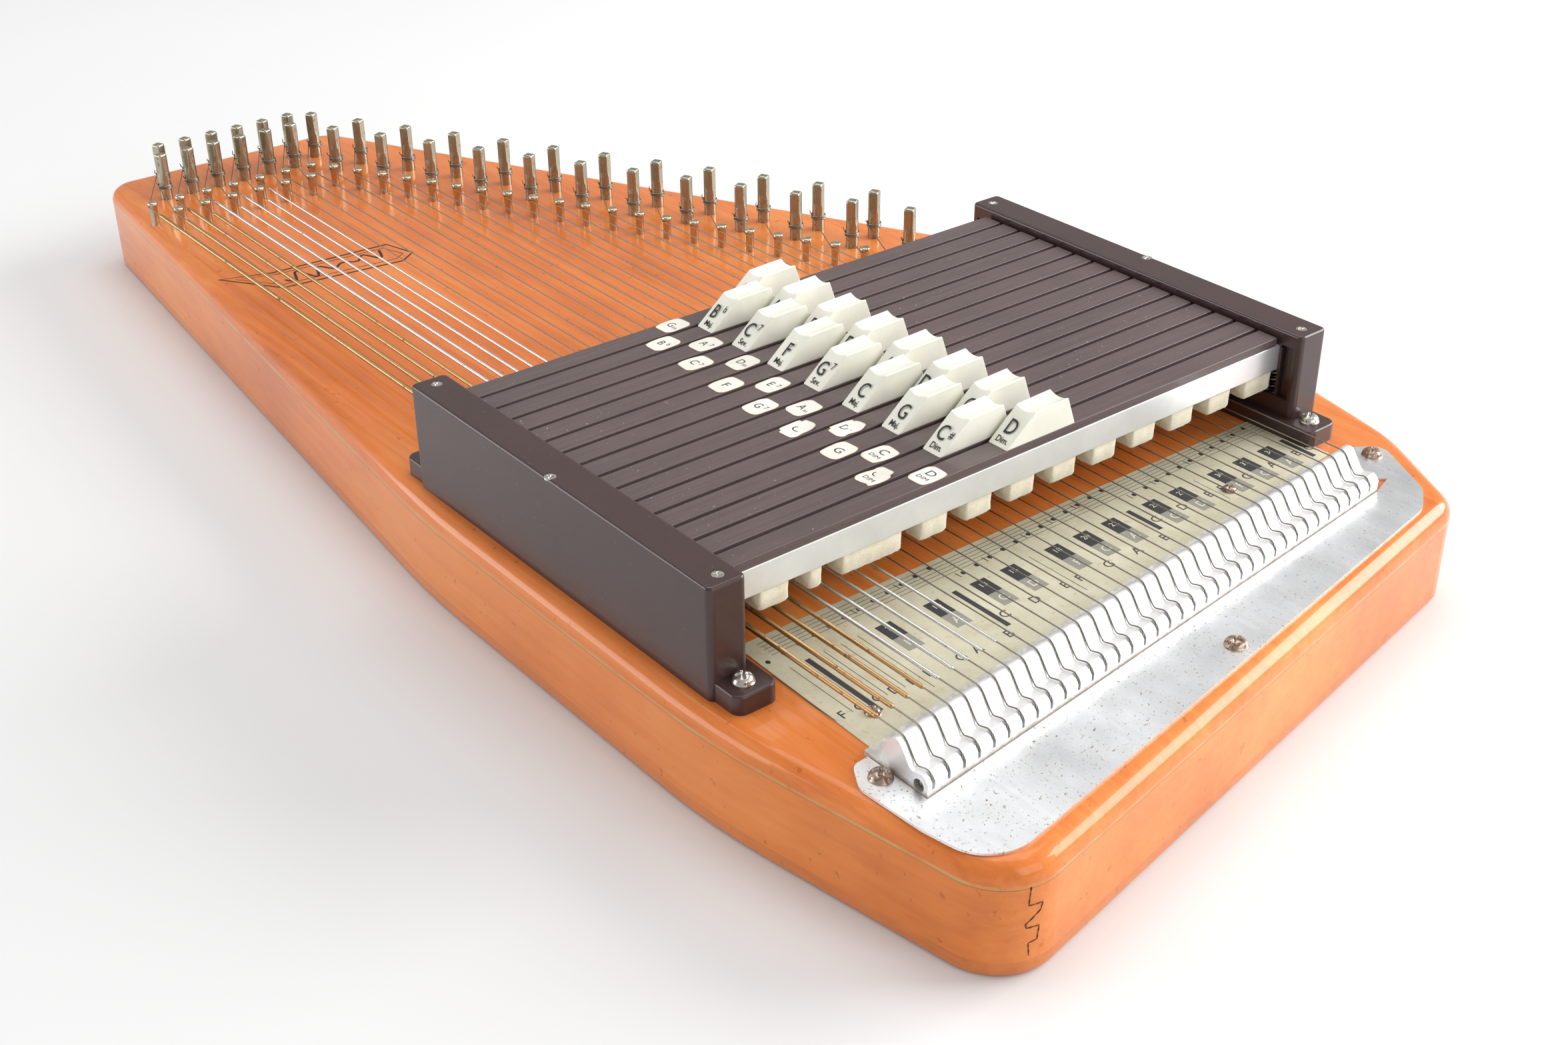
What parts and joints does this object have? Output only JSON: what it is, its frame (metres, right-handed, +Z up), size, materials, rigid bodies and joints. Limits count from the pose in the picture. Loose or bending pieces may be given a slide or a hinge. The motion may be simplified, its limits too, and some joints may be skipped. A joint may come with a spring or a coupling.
{
  "type": "chorded zither",
  "caption": "Flat stringed box zither with sprung chord bars whose notched felts mute the strings outside each chord, tuned by square-headed pins.",
  "frame": {"origin": "centre of the bounding box on the underside of the back board", "axes": "+X from the tuning pins towards the string anchor, +Y from the bass side to the treble side, +Z up from the back towards the strings"},
  "size_m": [0.578, 0.29, 0.0778],
  "materials": {
    "soundboard_wood": "stained and lacquered plywood",
    "back_wood": "stained and lacquered plywood",
    "side_wood": "stained and lacquered maple",
    "anchor_metal": "mill-finish extrusion",
    "plate_chrome": "thin chrome plate with age spots",
    "string_wire": "drawn steel and wound wire",
    "screw_metal": "nickel plate, worn",
    "holder_plastic": "glossy dark brown moulding",
    "spring_steel": "spring wire",
    "bar_metal": "extruded bar with a brown top strip, felt and an ivory plastic button",
    "pin_steel": "blued and nickel-plated steel, worn"
  },
  "bodies": {
    "instrument": {"soundboard": "soundboard_wood", "back_board": "back_wood", "frame_rails": "side_wood", "string_anchor": "anchor_metal", "cover_plate": "plate_chrome", "strings": "string_wire", "hardware": "screw_metal", "bar_holders": "holder_plastic", "bar_springs": "spring_steel"},
    "bar_01": {"chord_bar_01": "bar_metal"},
    "bar_02": {"chord_bar_02": "bar_metal"},
    "bar_03": {"chord_bar_03": "bar_metal"},
    "bar_04": {"chord_bar_04": "bar_metal"},
    "bar_05": {"chord_bar_05": "bar_metal"},
    "bar_06": {"chord_bar_06": "bar_metal"},
    "bar_07": {"chord_bar_07": "bar_metal"},
    "bar_08": {"chord_bar_08": "bar_metal"},
    "bar_09": {"chord_bar_09": "bar_metal"},
    "bar_10": {"chord_bar_10": "bar_metal"},
    "bar_11": {"chord_bar_11": "bar_metal"},
    "bar_12": {"chord_bar_12": "bar_metal"},
    "bar_13": {"chord_bar_13": "bar_metal"},
    "bar_14": {"chord_bar_14": "bar_metal"},
    "bar_15": {"chord_bar_15": "bar_metal"},
    "pin_01": {"tuning_pin_01": "pin_steel"},
    "pin_02": {"tuning_pin_02": "pin_steel"},
    "pin_03": {"tuning_pin_03": "pin_steel"},
    "pin_04": {"tuning_pin_04": "pin_steel"},
    "pin_05": {"tuning_pin_05": "pin_steel"},
    "pin_06": {"tuning_pin_06": "pin_steel"},
    "pin_07": {"tuning_pin_07": "pin_steel"},
    "pin_08": {"tuning_pin_08": "pin_steel"},
    "pin_09": {"tuning_pin_09": "pin_steel"},
    "pin_10": {"tuning_pin_10": "pin_steel"},
    "pin_11": {"tuning_pin_11": "pin_steel"},
    "pin_12": {"tuning_pin_12": "pin_steel"},
    "pin_13": {"tuning_pin_13": "pin_steel"},
    "pin_14": {"tuning_pin_14": "pin_steel"},
    "pin_15": {"tuning_pin_15": "pin_steel"},
    "pin_16": {"tuning_pin_16": "pin_steel"},
    "pin_17": {"tuning_pin_17": "pin_steel"},
    "pin_18": {"tuning_pin_18": "pin_steel"},
    "pin_19": {"tuning_pin_19": "pin_steel"},
    "pin_20": {"tuning_pin_20": "pin_steel"},
    "pin_21": {"tuning_pin_21": "pin_steel"},
    "pin_22": {"tuning_pin_22": "pin_steel"},
    "pin_23": {"tuning_pin_23": "pin_steel"},
    "pin_24": {"tuning_pin_24": "pin_steel"},
    "pin_25": {"tuning_pin_25": "pin_steel"},
    "pin_26": {"tuning_pin_26": "pin_steel"},
    "pin_27": {"tuning_pin_27": "pin_steel"},
    "pin_28": {"tuning_pin_28": "pin_steel"},
    "pin_29": {"tuning_pin_29": "pin_steel"},
    "pin_30": {"tuning_pin_30": "pin_steel"},
    "pin_31": {"tuning_pin_31": "pin_steel"},
    "pin_32": {"tuning_pin_32": "pin_steel"},
    "pin_33": {"tuning_pin_33": "pin_steel"},
    "pin_34": {"tuning_pin_34": "pin_steel"},
    "pin_35": {"tuning_pin_35": "pin_steel"},
    "pin_36": {"tuning_pin_36": "pin_steel"}
  },
  "joints": [
    {"name": "press_bar_01", "type": "slide", "parent": "instrument", "child": "bar_01", "axis": [0, 0, -1], "range_m": [0, 0.0032], "stiffness_N_per_m": 700, "springref_m": -0.004, "deforming": ["bar_springs"]},
    {"name": "press_bar_02", "type": "slide", "parent": "instrument", "child": "bar_02", "axis": [0, 0, -1], "range_m": [0, 0.0031], "stiffness_N_per_m": 700, "springref_m": -0.004, "deforming": ["bar_springs"]},
    {"name": "press_bar_03", "type": "slide", "parent": "instrument", "child": "bar_03", "axis": [0, 0, -1], "range_m": [0, 0.003], "stiffness_N_per_m": 700, "springref_m": -0.004, "deforming": ["bar_springs"]},
    {"name": "press_bar_04", "type": "slide", "parent": "instrument", "child": "bar_04", "axis": [0, 0, -1], "range_m": [0, 0.0029], "stiffness_N_per_m": 700, "springref_m": -0.004, "deforming": ["bar_springs"]},
    {"name": "press_bar_05", "type": "slide", "parent": "instrument", "child": "bar_05", "axis": [0, 0, -1], "range_m": [0, 0.0028], "stiffness_N_per_m": 700, "springref_m": -0.004, "deforming": ["bar_springs"]},
    {"name": "press_bar_06", "type": "slide", "parent": "instrument", "child": "bar_06", "axis": [0, 0, -1], "range_m": [0, 0.0027], "stiffness_N_per_m": 700, "springref_m": -0.004, "deforming": ["bar_springs"]},
    {"name": "press_bar_07", "type": "slide", "parent": "instrument", "child": "bar_07", "axis": [0, 0, -1], "range_m": [0, 0.0026], "stiffness_N_per_m": 700, "springref_m": -0.004, "deforming": ["bar_springs"]},
    {"name": "press_bar_08", "type": "slide", "parent": "instrument", "child": "bar_08", "axis": [0, 0, -1], "range_m": [0, 0.0025], "stiffness_N_per_m": 700, "springref_m": -0.004, "deforming": ["bar_springs"]},
    {"name": "press_bar_09", "type": "slide", "parent": "instrument", "child": "bar_09", "axis": [0, 0, -1], "range_m": [0, 0.0025], "stiffness_N_per_m": 700, "springref_m": -0.004, "deforming": ["bar_springs"]},
    {"name": "press_bar_10", "type": "slide", "parent": "instrument", "child": "bar_10", "axis": [0, 0, -1], "range_m": [0, 0.0024], "stiffness_N_per_m": 700, "springref_m": -0.004, "deforming": ["bar_springs"]},
    {"name": "press_bar_11", "type": "slide", "parent": "instrument", "child": "bar_11", "axis": [0, 0, -1], "range_m": [0, 0.0023], "stiffness_N_per_m": 700, "springref_m": -0.004, "deforming": ["bar_springs"]},
    {"name": "press_bar_12", "type": "slide", "parent": "instrument", "child": "bar_12", "axis": [0, 0, -1], "range_m": [0, 0.0022], "stiffness_N_per_m": 700, "springref_m": -0.004, "deforming": ["bar_springs"]},
    {"name": "press_bar_13", "type": "slide", "parent": "instrument", "child": "bar_13", "axis": [0, 0, -1], "range_m": [0, 0.0021], "stiffness_N_per_m": 700, "springref_m": -0.004, "deforming": ["bar_springs"]},
    {"name": "press_bar_14", "type": "slide", "parent": "instrument", "child": "bar_14", "axis": [0, 0, -1], "range_m": [0, 0.002], "stiffness_N_per_m": 700, "springref_m": -0.004, "deforming": ["bar_springs"]},
    {"name": "press_bar_15", "type": "slide", "parent": "instrument", "child": "bar_15", "axis": [0, 0, -1], "range_m": [0, 0.0019], "stiffness_N_per_m": 700, "springref_m": -0.004, "deforming": ["bar_springs"]},
    {"name": "turn_pin_01", "type": "hinge", "parent": "instrument", "child": "pin_01", "pos_m": [-0.2671, -0.0916, 0.035], "axis": [0, 0, 1], "range_deg": [-45, 315]},
    {"name": "turn_pin_02", "type": "hinge", "parent": "instrument", "child": "pin_02", "pos_m": [-0.2551, -0.096, 0.035], "axis": [0, 0, 1], "range_deg": [-45, 315]},
    {"name": "turn_pin_03", "type": "hinge", "parent": "instrument", "child": "pin_03", "pos_m": [-0.2671, -0.07955, 0.035], "axis": [0, 0, 1], "range_deg": [-45, 315]},
    {"name": "turn_pin_04", "type": "hinge", "parent": "instrument", "child": "pin_04", "pos_m": [-0.2551, -0.08395, 0.035], "axis": [0, 0, 1], "range_deg": [-45, 315]},
    {"name": "turn_pin_05", "type": "hinge", "parent": "instrument", "child": "pin_05", "pos_m": [-0.2671, -0.0675, 0.035], "axis": [0, 0, 1], "range_deg": [-45, 315]},
    {"name": "turn_pin_06", "type": "hinge", "parent": "instrument", "child": "pin_06", "pos_m": [-0.2551, -0.0719, 0.035], "axis": [0, 0, 1], "range_deg": [-45, 315]},
    {"name": "turn_pin_07", "type": "hinge", "parent": "instrument", "child": "pin_07", "pos_m": [-0.2671, -0.05545, 0.035], "axis": [0, 0, 1], "range_deg": [-45, 315]},
    {"name": "turn_pin_08", "type": "hinge", "parent": "instrument", "child": "pin_08", "pos_m": [-0.2551, -0.05985, 0.035], "axis": [0, 0, 1], "range_deg": [-45, 315]},
    {"name": "turn_pin_09", "type": "hinge", "parent": "instrument", "child": "pin_09", "pos_m": [-0.2671, -0.0434, 0.035], "axis": [0, 0, 1], "range_deg": [-45, 315]},
    {"name": "turn_pin_10", "type": "hinge", "parent": "instrument", "child": "pin_10", "pos_m": [-0.2551, -0.0478, 0.035], "axis": [0, 0, 1], "range_deg": [-45, 315]},
    {"name": "turn_pin_11", "type": "hinge", "parent": "instrument", "child": "pin_11", "pos_m": [-0.2671, -0.03135, 0.035], "axis": [0, 0, 1], "range_deg": [-45, 315]},
    {"name": "turn_pin_12", "type": "hinge", "parent": "instrument", "child": "pin_12", "pos_m": [-0.2551, -0.03575, 0.035], "axis": [0, 0, 1], "range_deg": [-45, 315]},
    {"name": "turn_pin_13", "type": "hinge", "parent": "instrument", "child": "pin_13", "pos_m": [-0.2616, -0.0224, 0.035], "axis": [0, 0, 1], "range_deg": [-45, 315]},
    {"name": "turn_pin_14", "type": "hinge", "parent": "instrument", "child": "pin_14", "pos_m": [-0.2391, -0.0237, 0.035], "axis": [0, 0, 1], "range_deg": [-45, 315]},
    {"name": "turn_pin_15", "type": "hinge", "parent": "instrument", "child": "pin_15", "pos_m": [-0.2406, -0.01055, 0.035], "axis": [0, 0, 1], "range_deg": [-45, 315]},
    {"name": "turn_pin_16", "type": "hinge", "parent": "instrument", "child": "pin_16", "pos_m": [-0.21805, -0.01187, 0.035], "axis": [0, 0, 1], "range_deg": [-45, 315]},
    {"name": "turn_pin_17", "type": "hinge", "parent": "instrument", "child": "pin_17", "pos_m": [-0.2196, 0.0013, 0.035], "axis": [0, 0, 1], "range_deg": [-45, 315]},
    {"name": "turn_pin_18", "type": "hinge", "parent": "instrument", "child": "pin_18", "pos_m": [-0.197, -0.00004, 0.035], "axis": [0, 0, 1], "range_deg": [-45, 315]},
    {"name": "turn_pin_19", "type": "hinge", "parent": "instrument", "child": "pin_19", "pos_m": [-0.1986, 0.01315, 0.035], "axis": [0, 0, 1], "range_deg": [-45, 315]},
    {"name": "turn_pin_20", "type": "hinge", "parent": "instrument", "child": "pin_20", "pos_m": [-0.17595, 0.01179, 0.035], "axis": [0, 0, 1], "range_deg": [-45, 315]},
    {"name": "turn_pin_21", "type": "hinge", "parent": "instrument", "child": "pin_21", "pos_m": [-0.1776, 0.025, 0.035], "axis": [0, 0, 1], "range_deg": [-45, 315]},
    {"name": "turn_pin_22", "type": "hinge", "parent": "instrument", "child": "pin_22", "pos_m": [-0.1549, 0.02362, 0.035], "axis": [0, 0, 1], "range_deg": [-45, 315]},
    {"name": "turn_pin_23", "type": "hinge", "parent": "instrument", "child": "pin_23", "pos_m": [-0.1566, 0.03685, 0.035], "axis": [0, 0, 1], "range_deg": [-45, 315]},
    {"name": "turn_pin_24", "type": "hinge", "parent": "instrument", "child": "pin_24", "pos_m": [-0.13385, 0.03545, 0.035], "axis": [0, 0, 1], "range_deg": [-45, 315]},
    {"name": "turn_pin_25", "type": "hinge", "parent": "instrument", "child": "pin_25", "pos_m": [-0.1356, 0.0487, 0.035], "axis": [0, 0, 1], "range_deg": [-45, 315]},
    {"name": "turn_pin_26", "type": "hinge", "parent": "instrument", "child": "pin_26", "pos_m": [-0.1128, 0.04728, 0.035], "axis": [0, 0, 1], "range_deg": [-45, 315]},
    {"name": "turn_pin_27", "type": "hinge", "parent": "instrument", "child": "pin_27", "pos_m": [-0.1146, 0.06055, 0.035], "axis": [0, 0, 1], "range_deg": [-45, 315]},
    {"name": "turn_pin_28", "type": "hinge", "parent": "instrument", "child": "pin_28", "pos_m": [-0.09175, 0.05911, 0.035], "axis": [0, 0, 1], "range_deg": [-45, 315]},
    {"name": "turn_pin_29", "type": "hinge", "parent": "instrument", "child": "pin_29", "pos_m": [-0.0936, 0.0724, 0.035], "axis": [0, 0, 1], "range_deg": [-45, 315]},
    {"name": "turn_pin_30", "type": "hinge", "parent": "instrument", "child": "pin_30", "pos_m": [-0.0707, 0.07094, 0.035], "axis": [0, 0, 1], "range_deg": [-45, 315]},
    {"name": "turn_pin_31", "type": "hinge", "parent": "instrument", "child": "pin_31", "pos_m": [-0.0726, 0.08425, 0.035], "axis": [0, 0, 1], "range_deg": [-45, 315]},
    {"name": "turn_pin_32", "type": "hinge", "parent": "instrument", "child": "pin_32", "pos_m": [-0.04965, 0.08277, 0.035], "axis": [0, 0, 1], "range_deg": [-45, 315]},
    {"name": "turn_pin_33", "type": "hinge", "parent": "instrument", "child": "pin_33", "pos_m": [-0.0516, 0.0961, 0.035], "axis": [0, 0, 1], "range_deg": [-45, 315]},
    {"name": "turn_pin_34", "type": "hinge", "parent": "instrument", "child": "pin_34", "pos_m": [-0.0286, 0.0946, 0.035], "axis": [0, 0, 1], "range_deg": [-45, 315]},
    {"name": "turn_pin_35", "type": "hinge", "parent": "instrument", "child": "pin_35", "pos_m": [-0.0306, 0.10795, 0.035], "axis": [0, 0, 1], "range_deg": [-45, 315]},
    {"name": "turn_pin_36", "type": "hinge", "parent": "instrument", "child": "pin_36", "pos_m": [-0.00755, 0.10643, 0.035], "axis": [0, 0, 1], "range_deg": [-45, 315]}
  ]
}
